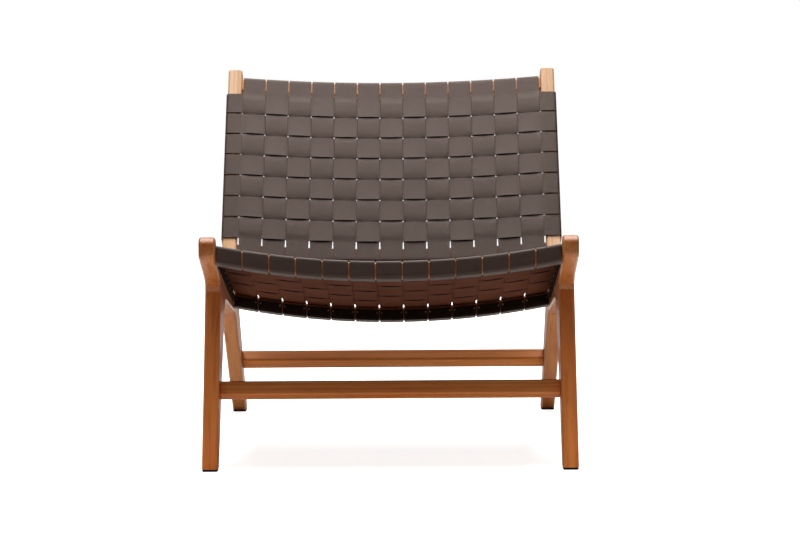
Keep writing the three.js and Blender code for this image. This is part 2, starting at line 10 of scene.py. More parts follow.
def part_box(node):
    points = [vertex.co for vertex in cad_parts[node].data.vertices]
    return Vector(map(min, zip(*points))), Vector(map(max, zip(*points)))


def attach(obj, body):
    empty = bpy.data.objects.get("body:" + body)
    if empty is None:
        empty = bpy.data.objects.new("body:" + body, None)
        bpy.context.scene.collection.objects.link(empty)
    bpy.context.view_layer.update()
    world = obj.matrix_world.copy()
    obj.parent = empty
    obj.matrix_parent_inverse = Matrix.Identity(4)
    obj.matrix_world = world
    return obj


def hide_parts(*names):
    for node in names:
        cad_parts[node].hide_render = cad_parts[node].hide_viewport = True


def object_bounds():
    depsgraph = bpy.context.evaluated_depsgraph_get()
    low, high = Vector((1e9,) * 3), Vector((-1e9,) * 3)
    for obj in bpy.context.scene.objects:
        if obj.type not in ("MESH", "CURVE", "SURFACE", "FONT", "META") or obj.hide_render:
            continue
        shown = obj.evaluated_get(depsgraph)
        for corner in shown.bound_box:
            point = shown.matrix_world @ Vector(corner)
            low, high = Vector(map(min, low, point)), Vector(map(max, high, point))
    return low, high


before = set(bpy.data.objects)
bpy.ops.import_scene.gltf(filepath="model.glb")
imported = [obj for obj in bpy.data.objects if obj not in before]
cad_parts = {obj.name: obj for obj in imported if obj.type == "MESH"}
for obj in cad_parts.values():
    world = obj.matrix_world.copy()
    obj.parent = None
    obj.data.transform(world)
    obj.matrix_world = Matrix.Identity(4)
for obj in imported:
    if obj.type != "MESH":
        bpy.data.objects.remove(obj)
cad_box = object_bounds()

# Frame sizes, the same as in the part's source
clear_width = 0.595
frame_thickness = 0.0275
fit = 0.0003

# Seat and back panels
seat_height = 0.3892
seat_angle = 16.4
seat_bow = 0.0289
nose_reach = 0.025
back_setback = 0.0485
back_rise = 0.1173
back_angle = 33.5
back_bow = 0.0225

# Leather straps
strap_thickness = 0.0022
cross_width = 0.0428
column_count = 13
seat_column_gap = 0.0026
seat_column_margin = 0.0012
back_column_gap = 0.003
back_column_margin = 0.0042
seat_row_count = 8
seat_row_gap = 0.004
seat_first_row_gap = 0.0028
seat_last_row_gap = 0.0223
back_row_count = 7
back_row_gap = 0.0044
end_drop = 0.006
end_inset = 0.005

# Bars that the straps go round
seat_front_rail_depth = 0.027
seat_front_rail_height = 0.027
seat_rear_rail_depth = 0.026
seat_rear_rail_height = 0.0225
back_rail_width = 0.028
back_rail_depth = 0.022
back_top_rail_gap = 0.0098
back_bottom_rail_gap = 0.0132
side_bar_depth = 0.017
post_depth = 0.029

# Finer shape of the straps
strap_bend = 0.005  # radius of a strap's middle line where it turns
strap_edge_round = 0.0002
strap_section_points = 24
section_corner = 30.0  # degrees round a section at which its flat face starts
column_weave_gap = 0.0018  # between the straps inside the weave, where they spread a little
row_weave_gap = 0.0023
weave_play = 0.0002  # from a strap's edge to where the crossing strap starts to turn over
flatness = 0.12  # share of a three times quicker wave, which flattens the strap over each crossing
entry_share = 0.3  # of a pitch, over which the wave of a strap begins softly
curl_share = 0.25  # of the height by which a strap's edges would have to turn over to lie on the next
lower_edge_tip = 0.0009  # by which the lower edges of the back's cross straps stand out
resting_spread = 0.4  # of its spread in the weave that a strap has everywhere
painted_shade_length = 0.019  # of the seat's strap ends behind the bars, in darker leather: painted shade
spread_share = 0.2  # of a pitch, in which a strap spreads
spread_lead = 0.3  # of a pitch, by which it spreads ahead of the weave
strap_wander = 0.0016
wander_scale = 5.0
path_step = 0.006  # longest step of a middle line
turn_shares = (-0.5, -0.25, 0, 0.25, 0.5)  # places of its points in a gap of the weave
bend_steps = 5
least_bend = 2.0  # degrees, below which a corner is left alone
weave_floor = 1.5  # thicknesses below its panel's surface, under which a strap has left the weave
face_bound = 0.9  # of a half thickness, past which a strap shows its grain or flesh side
sharp_angle = 60.0  # degrees, from which a strap's edge is shaded sharp
lengthwise_seed = 1  # the first seeds and their step, for a strap's wander and its grain
crosswise_seed = 40
seed_step = 2

# Tacks at the strap ends
tack_radius = 0.0018
tack_height_share = 0.5
tack_end_inset = 0.005
tack_edge_inset = 0.0032
tack_sides = 12
tack_rings = 6

# Eased edges of the wood and the pads
edge_round = 0.0015
pad_round = 0.0004
edge_steps = 3
edge_angle = 24.0  # degrees, from which an edge is eased
weld_distance = 0.00001
flat_angle = 0.4  # degrees, up to which neighbouring triangles become one face
lean_share = 0.15  # of a leg's height, at each end, that tells its lean
grain_shift = Vector((1.7, 0.37, 0.61))  # from one piece's place in the timber to the next one's

# Wood grain: cells per metre along the grain and across it, and the range of a noise that shows
tone_cells = (2.2, 26)
tone_range = (0.32, 0.68)
growth_cells = (1.6, 210)
growth_wobble = 0.35
growth_range = (0.5, 0.66)
fibre_cells = (24, 1300)
fibre_low_tone = 0.83
fibre_contrast = 0.34
pore_cells = (60, 2600)
pore_range = (0.64, 0.74)
pore_strength = 0.22
wood_roughness = 0.4
growth_roughness = 0.08
fibre_roughness = 0.16
pore_depth = 0.6  # this and the next in fibre heights
growth_depth = 0.4
wood_relief = 0.00012

# Leather grain: cells per metre
crinkle_cells = 260.0
patch_cells = 22.0
face_pores = 900.0
edge_pores = 1400.0
flesh_pores = 1600.0
wear_range = (0.35, 0.75)
most_wear = 0.5
crinkle_roughness = 0.16
crinkle_height = 0.8  # in pore depths
pore_wall = 0.12  # of a cell, over which a pore's wall falls
leather_relief = 0.00012
flesh_relief = 0.0003

# Rubber and tack heads: cells per metre
grit_cells = 1400.0
blotch_cells = 160.0
rubber_roughness = 0.6
grit_roughness = 0.3
rubber_relief = 0.00012
tarnish_cells = 700.0
tack_roughness = 0.25
tarnish_roughness = 0.3

# Studio
floor_reach = 30.0
paper_tone = 0.93
near_distance = 0.6  # from the chair's origin, within which the camera sees the paper least bright
far_distance = 1.4  # and past which it sees it white
near_brightness = 0.88
world_strength = 0.02
chair_middle = Vector((0, 0, 0.35))
lamp_width = 2.4
lamp_depth = 2.0

half_width = clear_width / 2
lift = strap_thickness / 2 + fit / 2  # of a strap's middle line, over and under its panel's surface
line_over_bar = strap_thickness / 2 + fit  # from a bar's face to the middle line of a strap on it
seat_row_pitch = cross_width + seat_row_gap
back_row_pitch = cross_width + back_row_gap
seat_first_row = (
    seat_front_rail_depth + line_over_bar + strap_thickness / 2 + seat_first_row_gap + cross_width / 2
)
seat_last_row = seat_first_row + (seat_row_count - 1) * seat_row_pitch
seat_rear_rail_place = seat_last_row + cross_width / 2 + seat_last_row_gap


# Panels: u runs along a panel, n stands on it and x runs across the chair
def make_panel(origin, degrees, bow):
    angle = math.radians(degrees)
    return {
        "origin": origin,
        "along": Vector((0, math.cos(angle), math.sin(angle))),
        "normal": Vector((0, -math.sin(angle), math.cos(angle))),
        "bow": bow,
    }


def hollow(panel, x):
    share = min(1, abs(x) / half_width)
    return panel["bow"] * (1 - share * share)


def on_panel(panel, x, u, n):
    place = panel["origin"] + panel["along"] * u + panel["normal"] * (n - hollow(panel, x))
    place.x = x
    return place


seat = make_panel(Vector((0, cad_box[0].y + nose_reach, seat_height)), -seat_angle, seat_bow)
back_origin = (
    seat["origin"]
    + seat["along"] * (seat_rear_rail_place + back_setback)
    + seat["normal"] * back_rise
)
back = make_panel(back_origin, 90 - back_angle, back_bow)


# Small helpers for node trees
def add_node(tree, kind, inputs=None, **settings):
    node = tree.nodes.new(kind)
    for name, value in settings.items():
        setattr(node, name, value)
    for key, value in (inputs or {}).items():
        if isinstance(value, bpy.types.NodeSocket):
            tree.links.new(value, node.inputs[key])
        else:
            node.inputs[key].default_value = value
    return node


def math_of(tree, operation, *values):
    return add_node(tree, "ShaderNodeMath", dict(enumerate(values)), operation=operation).outputs[0]


def vector_of(tree, operation, *values, scale=None):
    inputs = dict(enumerate(values))
    if scale is not None:
        inputs["Scale"] = scale
    return add_node(tree, "ShaderNodeVectorMath", inputs, operation=operation).outputs[0]


def length_of(tree, vector):
    return add_node(tree, "ShaderNodeVectorMath", {0: vector}, operation="LENGTH").outputs["Value"]


def dot_of(tree, first, second):
    node = add_node(tree, "ShaderNodeVectorMath", {0: first, 1: second}, operation="DOT_PRODUCT")
    return node.outputs["Value"]


def vector_from(tree, x=0.0, y=0.0, z=0.0):
    return add_node(tree, "ShaderNodeCombineXYZ", {0: x, 1: y, 2: z}).outputs[0]


def parts_of(tree, vector):
    return add_node(tree, "ShaderNodeSeparateXYZ", {0: vector}).outputs


def clamped(tree, value, low):
    return add_node(tree, "ShaderNodeClamp", {"Value": value, "Min": low, "Max": 1.0}).outputs[0]


def ranged(tree, value, low, high, to_low=0.0, to_high=1.0, curve="LINEAR"):
    inputs = {"Value": value, "From Min": low, "From Max": high, "To Min": to_low, "To Max": to_high}
    return add_node(tree, "ShaderNodeMapRange", inputs, interpolation_type=curve).outputs["Result"]


def noise_of(tree, place, scale, detail, distortion=0.0):
    inputs = {"Vector": place, "Scale": scale, "Detail": detail, "Distortion": distortion}
    return add_node(tree, "ShaderNodeTexNoise", inputs).outputs[0]


def mixed(tree, share, first, second, blend="MIX"):
    inputs = {0: share, 6: first, 7: second}  # the colour sockets of a Mix node go by number
    return add_node(tree, "ShaderNodeMix", inputs, data_type="RGBA", blend_type=blend).outputs[2]


def stored(tree, geometry, name, value, kind="FLOAT"):
    inputs = {"Geometry": geometry, "Name": name, "Value": value}
    return add_node(tree, "GeometryNodeStoreNamedAttribute", inputs, data_type=kind).outputs[0]


def named(tree, name, kind="FLOAT"):
    return add_node(tree, "GeometryNodeInputNamedAttribute", {"Name": name}, data_type=kind).outputs[0]


def put_at(tree, geometry, place):
    inputs = {"Geometry": geometry, "Position": place}
    return add_node(tree, "GeometryNodeSetPosition", inputs).outputs[0]


def dressed(tree, geometry, material, where=True):
    inputs = {"Geometry": geometry, "Selection": where, "Material": material}
    return add_node(tree, "GeometryNodeSetMaterial", inputs).outputs[0]


def new_tree(name, kind, inputs, outputs):
    tree = bpy.data.node_groups.new(name, kind)
    for word, socket, value in inputs:
        made = tree.interface.new_socket(word, in_out="INPUT", socket_type=socket)
        if value is not None:
            made.default_value = value
    for word, socket in outputs:
        tree.interface.new_socket(word, in_out="OUTPUT", socket_type=socket)
    start = tree.nodes.new("NodeGroupInput").outputs
    end = tree.nodes.new("NodeGroupOutput").inputs
    return tree, start, end


grain_outputs = [
    ("Color", "NodeSocketColor"),
    ("Roughness", "NodeSocketFloat"),
    ("Height", "NodeSocketFloat"),
]


# Wood: growth lines, fibres and pores along a piece, from its own grain places, with painted light and
# shade by height
def wood_grain_group():
    tree, start, end = new_tree(
        "wood grain",
        "ShaderNodeTree",
        [
            ("Place", "NodeSocketVector", None),
            ("Pale", "NodeSocketColor", (1, 1, 1, 1)),
            ("Dark", "NodeSocketColor", (0, 0, 0, 1)),
            ("Line", "NodeSocketColor", (0, 0, 0, 1)),
            ("Line Strength", "NodeSocketFloat", 0.6),
            ("Height Share", "NodeSocketFloat", 0.5),
            ("Painted Shading At Bottom", "NodeSocketFloat", 1.0),
            ("Painted Shading At Top", "NodeSocketFloat", 1.0),
        ],
        grain_outputs,
    )

    def stretched(cells, detail, distortion=0.0):
        along, across = cells
        scaled = vector_of(tree, "MULTIPLY", start["Place"], (along, across, across))
        return noise_of(tree, scaled, 1.0, detail, distortion)

    broad = ranged(tree, stretched(tone_cells, 2), *tone_range, curve="SMOOTHSTEP")
    growth = stretched(growth_cells, 2, growth_wobble)
    growth_lines = ranged(tree, growth, *growth_range, curve="SMOOTHSTEP")
    fibres = stretched(fibre_cells, 2)
    pores = ranged(tree, stretched(pore_cells, 1), *pore_range, curve="SMOOTHSTEP")
    body = mixed(tree, broad, start["Pale"], start["Dark"])
    line_share = math_of(tree, "MULTIPLY", growth_lines, start["Line Strength"])
    lined = mixed(tree, line_share, body, start["Line"])
    fibre_tone = math_of(tree, "MULTIPLY_ADD", fibres, fibre_contrast, fibre_low_tone)
    fibre_grey = add_node(
        tree, "ShaderNodeCombineColor", {0: fibre_tone, 1: fibre_tone, 2: fibre_tone}
    ).outputs[0]
    streaked = mixed(tree, 1.0, lined, fibre_grey, "MULTIPLY")
    pored = mixed(tree, math_of(tree, "MULTIPLY", pores, pore_strength), streaked, start["Line"])
    # Lighter or darker from the bottom of a piece to its top, by its share of the height: painted light
    # and painted shade
    painted_shading = ranged(tree, start["Height Share"], 0.0, 1.0, start["Painted Shading At Bottom"], start["Painted Shading At Top"])
    tree.links.new(vector_of(tree, "SCALE", pored, scale=painted_shading), end["Color"])
    satin = math_of(tree, "MULTIPLY_ADD", growth_lines, growth_roughness, wood_roughness)
    tree.links.new(math_of(tree, "MULTIPLY_ADD", fibres, fibre_roughness, satin), end["Roughness"])
    pitted = math_of(tree, "SUBTRACT", fibres, math_of(tree, "MULTIPLY", pores, pore_depth))
    groove = math_of(tree, "MULTIPLY", growth_lines, growth_depth)
    tree.links.new(math_of(tree, "SUBTRACT", pitted, groove), end["Height"])
    return tree


# Leather: crinkles, pores and worn patches along a strap, from its own strap places
def leather_grain_group():
    tree, start, end = new_tree(
        "leather grain",
        "ShaderNodeTree",
        [
            ("Place", "NodeSocketVector", None),
            ("Color", "NodeSocketColor", (1, 1, 1, 1)),
            ("Worn", "NodeSocketColor", (1, 1, 1, 1)),
            ("Pore Scale", "NodeSocketFloat", face_pores),
            ("Roughness", "NodeSocketFloat", 0.5),
        ],
        grain_outputs,
    )
    pores = add_node(
        tree,
        "ShaderNodeTexVoronoi",
        {"Vector": start["Place"], "Scale": start["Pore Scale"], "Randomness": 1.0},
        feature="DISTANCE_TO_EDGE",
    ).outputs["Distance"]
    crinkle = noise_of(tree, start["Place"], crinkle_cells, 4.0)
    patches = noise_of(tree, start["Place"], patch_cells, 3.0)
    wear = ranged(tree, patches, *wear_range, to_high=most_wear)
    tree.links.new(mixed(tree, wear, start["Color"], start["Worn"]), end["Color"])
    smoothest = math_of(tree, "SUBTRACT", start["Roughness"], crinkle_roughness / 2)
    rough = math_of(tree, "MULTIPLY_ADD", crinkle, crinkle_roughness, smoothest)
    tree.links.new(rough, end["Roughness"])
    pits = ranged(tree, pores, 0.0, pore_wall)
    tree.links.new(math_of(tree, "MULTIPLY_ADD", crinkle, crinkle_height, pits), end["Height"])
    return tree


wood_grain = wood_grain_group()
leather_grain = leather_grain_group()


def sRGB(red, green, blue):
    """A colour as screens show it, in the linear values that a socket takes"""
    def linear(value):
        share = value / 255
        return share / 12.92 if share <= 0.04045 else ((share + 0.055) / 1.055) ** 2.4

    return (linear(red), linear(green), linear(blue), 1.0)


def new_material(name, swatch, **constants):
    material = bpy.data.materials.new(name)
    material.use_nodes = True
    material.diffuse_color = swatch
    shader = material.node_tree.nodes["Principled BSDF"]
    for word, value in constants.items():
        shader.inputs[word.replace("_", " ")].default_value = value
    return material, material.node_tree, shader


def attribute_of(tree, name, output="Vector"):
    return add_node(tree, "ShaderNodeAttribute", attribute_name=name).outputs[output]


def feed(tree, shader, outputs, relief):
    tree.links.new(outputs["Color"], shader.inputs["Base Color"])
    tree.links.new(outputs["Roughness"], shader.inputs["Roughness"])
    bump = add_node(tree, "ShaderNodeBump", {"Height": outputs["Height"], "Distance": relief})
    tree.links.new(bump.outputs[0], shader.inputs["Normal"])


# The bottom and top painted shading scale the wood's colour at a piece's lowest and highest points
def wood_material(name, pale, dark, line, line_strength, bottom_painted_shading=1.0, top_painted_shading=1.0, lacquer=0.15):
    material, tree, shader = new_material(
        name, pale, Coat_Weight=lacquer, Coat_Roughness=0.25, Specular_IOR_Level=0.4,
        Specular_Tint=(1.0, 0.93, 0.84, 1.0),
    )
    inputs = {
        "Place": attribute_of(tree, "grain_place"),
        "Height Share": attribute_of(tree, "height_share", "Fac"),
        "Pale": pale,
        "Dark": dark,
        "Line": line,
        "Line Strength": line_strength,
        "Painted Shading At Bottom": bottom_painted_shading,
        "Painted Shading At Top": top_painted_shading,
    }
    group = add_node(tree, "ShaderNodeGroup", inputs, node_tree=wood_grain)
    feed(tree, shader, group.outputs, wood_relief)
    return material


def leather_material(name, color, worn, pore_scale, roughness, relief=leather_relief, **constants):
    material, tree, shader = new_material(name, color, **constants)
    inputs = {
        "Place": attribute_of(tree, "strap_place"),
        "Color": color,
        "Worn": worn,
        "Pore Scale": pore_scale,
        "Roughness": roughness,
    }
    group = add_node(tree, "ShaderNodeGroup", inputs, node_tree=leather_grain)
    feed(tree, shader, group.outputs, relief)
    return material


woods = {
    # The posts take a paler copy of the wood, painted light, and grow lighter still towards their bottom
    # ends, painted light too
    "posts": wood_material(
        "wood paled by painted light", sRGB(219, 178, 141), sRGB(205, 157, 113), sRGB(160, 103, 61),
        line_strength=0.3, bottom_painted_shading=1.4,
    ),
    "side rails": wood_material(
        "golden wood", sRGB(194, 121, 57), sRGB(173, 96, 37), sRGB(112, 51, 14),
        line_strength=0.35, lacquer=0.4,
    ),
    # Darker towards the top and lighter towards the foot: painted shade under the seat and painted light
    # from the floor
    "front legs": wood_material(
        "brown wood", sRGB(226, 135, 68), sRGB(204, 109, 50), sRGB(131, 58, 18),
        line_strength=0.25, bottom_painted_shading=1.45, top_painted_shading=0.78,
    ),
    # Darker towards the foot and lighter towards the top: painted shade and painted light
    "rear legs": wood_material(
        "tan wood", sRGB(200, 128, 64), sRGB(178, 105, 48), sRGB(124, 61, 22),
        line_strength=0.25, bottom_painted_shading=0.76, top_painted_shading=1.15,
    ),
    # A darker copy of the rail wood for rails under the seat and behind the back's weave: painted shade
    "rails in painted shade": wood_material(
        "wood in painted shade", sRGB(118, 62, 34), sRGB(98, 48, 24), sRGB(62, 26, 10), line_strength=0.3,
    ),
    "rails": wood_material(
        "rail wood", sRGB(214, 144, 86), sRGB(190, 116, 60), sRGB(126, 66, 26), line_strength=0.3,
    ),
    # Lighter on its lower face and darker on its upper face: painted light from the floor and painted
    # shade under the seat
    "front stretcher": wood_material(
        "stretcher wood", sRGB(241, 150, 80), sRGB(217, 124, 61), sRGB(132, 64, 22),
        line_strength=0.3, bottom_painted_shading=1.22, top_painted_shading=0.88,
    ),
    # Darker on its lower face and lighter on its upper face: painted shade and painted light
    "rear stretcher": wood_material(
        "rear stretcher wood", sRGB(226, 138, 49), sRGB(204, 114, 35), sRGB(130, 60, 14),
        line_strength=0.35, bottom_painted_shading=0.8, top_painted_shading=1.3,
    ),
}
leather_face = leather_material(
    "leather grain side", sRGB(61, 44, 36), sRGB(70, 51, 42), face_pores, roughness=0.46,
    Specular_IOR_Level=0.47, Specular_Tint=(1.0, 0.83, 0.75, 1.0),
)
# A darker copy of the grain side for the seat's strap ends round the bars: painted shade
leather_in_painted_shade = leather_material(
    "leather of the strap ends in painted shade", sRGB(30, 20, 15), sRGB(40, 28, 21), face_pores, roughness=0.8,
    Specular_IOR_Level=0.04,
)
# The cut edges are dark, partly their own colour and partly painted shade that deepens the dark lines
# under the straps' lower edges
leather_edge_with_painted_shade = leather_material(
    "leather cut edge with painted shade", sRGB(22, 16, 13), sRGB(36, 27, 22), edge_pores, roughness=0.7,
    Specular_IOR_Level=0.1, Specular_Tint=(1.0, 0.8, 0.68, 1.0),
)
leather_flesh = leather_material(
    "leather flesh side", sRGB(110, 59, 34), sRGB(126, 72, 44), flesh_pores, roughness=0.9,
    relief=flesh_relief, Specular_IOR_Level=0.15,
)


def pad_material():
    material, tree, shader = new_material("black rubber", sRGB(24, 24, 24), Specular_IOR_Level=0.4)
    place = add_node(tree, "ShaderNodeTexCoord").outputs["Object"]
    grit = noise_of(tree, place, grit_cells, 3.0)
    blotches = noise_of(tree, place, blotch_cells, 2.0)
    outputs = {
        "Color": mixed(tree, blotches, sRGB(14, 14, 14), sRGB(34, 33, 32)),
        "Roughness": math_of(tree, "MULTIPLY_ADD", grit, grit_roughness, rubber_roughness),
        "Height": grit,
    }
    feed(tree, shader, outputs, rubber_relief)
    return material


def tack_material():
    material, tree, shader = new_material("dulled tack heads", sRGB(110, 98, 86), Metallic=1.0)
    place = add_node(tree, "ShaderNodeTexCoord").outputs["Object"]
    tarnish = noise_of(tree, place, tarnish_cells, 3.0)
    metal = mixed(tree, tarnish, sRGB(74, 60, 46), sRGB(130, 112, 90))
    rough = math_of(tree, "MULTIPLY_ADD", tarnish, tarnish_roughness, tack_roughness)
    tree.links.new(metal, shader.inputs["Base Color"])
    tree.links.new(rough, shader.inputs["Roughness"])
    return material


rubber = pad_material()
tack_metal = tack_material()


# Straps: a flat section swept along a middle line, woven, and bent into its panel's hollow
def strap_tree():
    tree, start, end = new_tree(
        "woven strap",
        "GeometryNodeTree",
        [
            ("Geometry", "NodeSocketGeometry", None),
            ("Width", "NodeSocketFloat", cross_width),
            ("Thickness", "NodeSocketFloat", strap_thickness),
            ("Edge Round", "NodeSocketFloat", strap_edge_round),
            ("Section Points", "NodeSocketInt", strap_section_points),
            ("Across", "NodeSocketVector", (1.0, 0.0, 0.0)),
            ("Run", "NodeSocketVector", (0.0, 1.0, 0.0)),
            ("Middle", "NodeSocketFloat", 0.0),
            ("Own Pitch", "NodeSocketFloat", cross_width),
            ("Own Gap", "NodeSocketFloat", row_weave_gap),
            ("First Crossing", "NodeSocketFloat", 0.0),
            ("Crossing Pitch", "NodeSocketFloat", cross_width),
            ("Crossing Gap", "NodeSocketFloat", column_weave_gap),
            ("Crossings", "NodeSocketInt", column_count),
            ("Lift", "NodeSocketFloat", lift),
            ("Play", "NodeSocketFloat", weave_play),
            ("Flatness", "NodeSocketFloat", flatness),
            ("Entry Share", "NodeSocketFloat", entry_share),
            ("Curl Share", "NodeSocketFloat", curl_share),
            ("Tip", "NodeSocketFloat", 0.0),
            ("Spread Share", "NodeSocketFloat", spread_share),
            ("Spread Lead", "NodeSocketFloat", spread_lead),
            ("Resting Spread", "NodeSocketFloat", resting_spread),
            ("Panel Origin", "NodeSocketVector", (0.0, 0.0, 0.0)),
            ("Panel Along", "NodeSocketVector", (0.0, 1.0, 0.0)),
            ("Panel Normal", "NodeSocketVector", (0.0, 0.0, 1.0)),
            ("Bow", "NodeSocketFloat", seat_bow),
            ("Half Width", "NodeSocketFloat", half_width),
            ("Wander", "NodeSocketFloat", strap_wander),
            ("Seed", "NodeSocketInt", 0),
            ("Painted Shade Length", "NodeSocketFloat", painted_shade_length),
            ("Face Leather", "NodeSocketMaterial", None),
            ("Painted Shade Leather", "NodeSocketMaterial", None),
            ("Flesh Leather", "NodeSocketMaterial", None),
            ("Edge Leather", "NodeSocketMaterial", None),
        ],
        [("Geometry", "NodeSocketGeometry")],
    )

    def plus(first, second):
        return math_of(tree, "ADD", first, second)

    def less(first, second):
        return math_of(tree, "SUBTRACT", first, second)

    def over(first, second):
        return math_of(tree, "DIVIDE", first, second)

    def times(first, *others):
        for value in others:
            first = math_of(tree, "MULTIPLY", first, value)
        return first

    def cosine(angle):
        return math_of(tree, "COSINE", angle)

    # The middle line, with each point's way along it and from the nearer end
    line = add_node(tree, "GeometryNodeMeshToCurve", {0: start["Geometry"]}).outputs[0]
    turned = add_node(
        tree, "GeometryNodeSetCurveNormal", {"Curve": line, "Normal": start["Across"]}, mode="FREE"
    ).outputs[0]
    length = add_node(tree, "GeometryNodeSplineParameter").outputs["Length"]
    whole_length = add_node(tree, "GeometryNodeSplineLength").outputs["Length"]
    from_end = math_of(tree, "MINIMUM", length, less(whole_length, length))
    measured = stored(tree, stored(tree, turned, "strap_along", length), "strap_end", from_end)

    # The section: a circle pressed flat, with a small round at each corner
    ring = add_node(
        tree, "GeometryNodeCurvePrimitiveCircle", {"Resolution": start["Section Points"], "Radius": 1.0}
    ).outputs[0]
    at = parts_of(tree, add_node(tree, "GeometryNodeInputPosition").outputs[0])
    corner = math.radians(section_corner)
    half = over(start["Width"], 2.0)
    flat_share = less(1.0, over(start["Edge Round"], half))
    spread_out = times(at[0], over(flat_share, math.cos(corner)))
    across = times(clamped(tree, spread_out, -1.0), half)
    face = clamped(tree, over(at[1], math.sin(corner)), -1.0)
    upward = times(face, over(start["Thickness"], 2.0))
    marked = stored(tree, stored(tree, ring, "strap_face", face), "strap_across", across)
    profile = put_at(tree, marked, vector_from(tree, across, upward))
    swept = add_node(
        tree, "GeometryNodeCurveToMesh", {"Curve": measured, "Profile Curve": profile, "Fill Caps": True}
    ).outputs[0]
    along = plus(named(tree, "strap_along"), start["Seed"])
    place = vector_from(tree, along, named(tree, "strap_across"), named(tree, "strap_face"))
    placed = stored(tree, swept, "strap_place", place, "FLOAT_VECTOR")

    # Where a point is in the weave
    here = add_node(tree, "GeometryNodeInputPosition").outputs[0]
    own_way = vector_of(tree, "ABSOLUTE", start["Across"])
    own = less(dot_of(tree, here, own_way), start["Middle"])
    travel = less(dot_of(tree, here, start["Run"]), start["First Crossing"])
    turns = over(travel, start["Crossing Pitch"])
    entered = plus(turns, 0.5)
    depth = math_of(tree, "MINIMUM", entered, less(start["Crossings"], entered))
    lowest = times(start["Thickness"], -weave_floor)
    upper = math_of(tree, "GREATER_THAN", parts_of(tree, here)[2], lowest)

    # There a strap spreads a little
    spread = clamped(tree, over(depth, start["Spread Share"]), 0.0)
    led = clamped(tree, over(plus(depth, start["Spread Lead"]), start["Spread Share"]), 0.0)
    full_width = less(start["Own Pitch"], start["Own Gap"])
    extra = less(over(full_width, start["Width"]), 1.0)
    most_spread = math_of(tree, "MAXIMUM", times(led, upper), start["Resting Spread"])
    wider = times(own, extra, most_spread)

    # It waves over and under the others, with a soft beginning
    wave = cosine(times(turns, math.pi))
    quick_wave = cosine(times(turns, 3 * math.pi))
    less_quick = less(wave, times(quick_wave, start["Flatness"]))
    flatter = over(less_quick, less(1.0, start["Flatness"]))
    begun = clamped(tree, over(depth, start["Entry Share"]), 0.0)
    soft = times(begun, begun, math_of(tree, "MULTIPLY_ADD", begun, -2.0, 3.0))

    # Its edges turn over late, so that it lies on the strap that it crosses, and may stand out
    turn_width = less(start["Crossing Gap"], times(start["Play"], 2.0))
    turn_share = over(turn_width, start["Crossing Pitch"])
    steepness = math_of(tree, "SINE", times(turn_share, math.pi / 2))
    sides = clamped(tree, over(wave, steepness), -1.0)
    own_share = over(plus(own, wider), start["Own Pitch"])
    curl = less(1.0, cosine(times(own_share, math.pi)))
    turned_over = times(sides, curl, start["Curl Share"])
    lifted = times(plus(flatter, turned_over), start["Lift"], times(soft, upper))
    tipped = times(spread, upper, start["Tip"], over(own, half))
    rise = less(lifted, tipped)

    # It strays sideways, and the flat weave is then bent into the hollow of its panel
    widened = vector_of(tree, "ADD", here, vector_of(tree, "SCALE", own_way, scale=wider))
    waved = vector_of(tree, "ADD", widened, vector_from(tree, z=rise))
    noise = add_node(
        tree,
        "ShaderNodeTexNoise",
        {"Vector": here, "W": start["Seed"], "Scale": wander_scale, "Detail": 1.0},
        noise_dimensions="4D",
    ).outputs["Color"]
    centred = vector_of(tree, "SUBTRACT", noise, (0.5, 0.5, 0.5))
    stray = vector_of(tree, "SCALE", centred, scale=start["Wander"])
    strayed = vector_of(tree, "MULTIPLY", stray, own_way)
    flat = parts_of(tree, vector_of(tree, "ADD", waved, strayed))
    share = over(flat[0], start["Half Width"])
    left_over = math_of(tree, "MAXIMUM", less(1.0, times(share, share)), 0.0)
    height = less(flat[2], times(left_over, start["Bow"]))
    based = vector_of(tree, "ADD", start["Panel Origin"], vector_from(tree, flat[0]))
    moved = vector_of(tree, "ADD", based, vector_of(tree, "SCALE", start["Panel Along"], scale=flat[1]))
    final = vector_of(tree, "ADD", moved, vector_of(tree, "SCALE", start["Panel Normal"], scale=height))
    laid = put_at(tree, placed, final)
    whole = add_node(tree, "GeometryNodeRealizeInstances", {0: laid}).outputs[0]

    # The leathers of its sides
    side = named(tree, "strap_face")
    on_grain_side = math_of(tree, "GREATER_THAN", side, face_bound)
    on_flesh_side = math_of(tree, "LESS_THAN", side, -face_bound)
    near_end = math_of(tree, "LESS_THAN", named(tree, "strap_end"), start["Painted Shade Length"])
    edged = dressed(tree, whole, start["Edge Leather"])
    topped = dressed(tree, edged, start["Face Leather"], on_grain_side)
    # The grain side of the seat's strap ends is made darker: painted shade
    painted_shade_ends = dressed(tree, topped, start["Painted Shade Leather"], times(near_end, on_grain_side))
    backed = dressed(tree, painted_shade_ends, start["Flesh Leather"], on_flesh_side)
    tree.links.new(backed, end["Geometry"])
    return tree


def plain_mesh(holder, name):
    """Puts a plain mesh in the place of an object and its modifiers"""
    bpy.context.view_layer.update()
    depsgraph = bpy.context.evaluated_depsgraph_get()
    seen = holder.evaluated_get(depsgraph)
    mesh = bpy.data.meshes.new_from_object(seen, preserve_all_data_layers=True, depsgraph=depsgraph)
    draft = holder.data
    bpy.data.objects.remove(holder)
    bpy.data.meshes.remove(draft)
    mesh.name = name
    piece = bpy.data.objects.new(name, mesh)
    bpy.context.scene.collection.objects.link(piece)
    return piece


def new_holder(name, points, edges):
    mesh = bpy.data.meshes.new(name)
    mesh.from_pydata(points, edges, [])
    holder = bpy.data.objects.new(name, mesh)
    bpy.context.scene.collection.objects.link(holder)
    return holder


def add_tree(holder, tree, values):
    modifier = holder.modifiers.new(tree.name, "NODES")
    modifier.node_group = tree
    for socket in tree.interface.items_tree:
        if socket.in_out == "INPUT" and socket.name in values:
            modifier[socket.identifier] = values[socket.name]


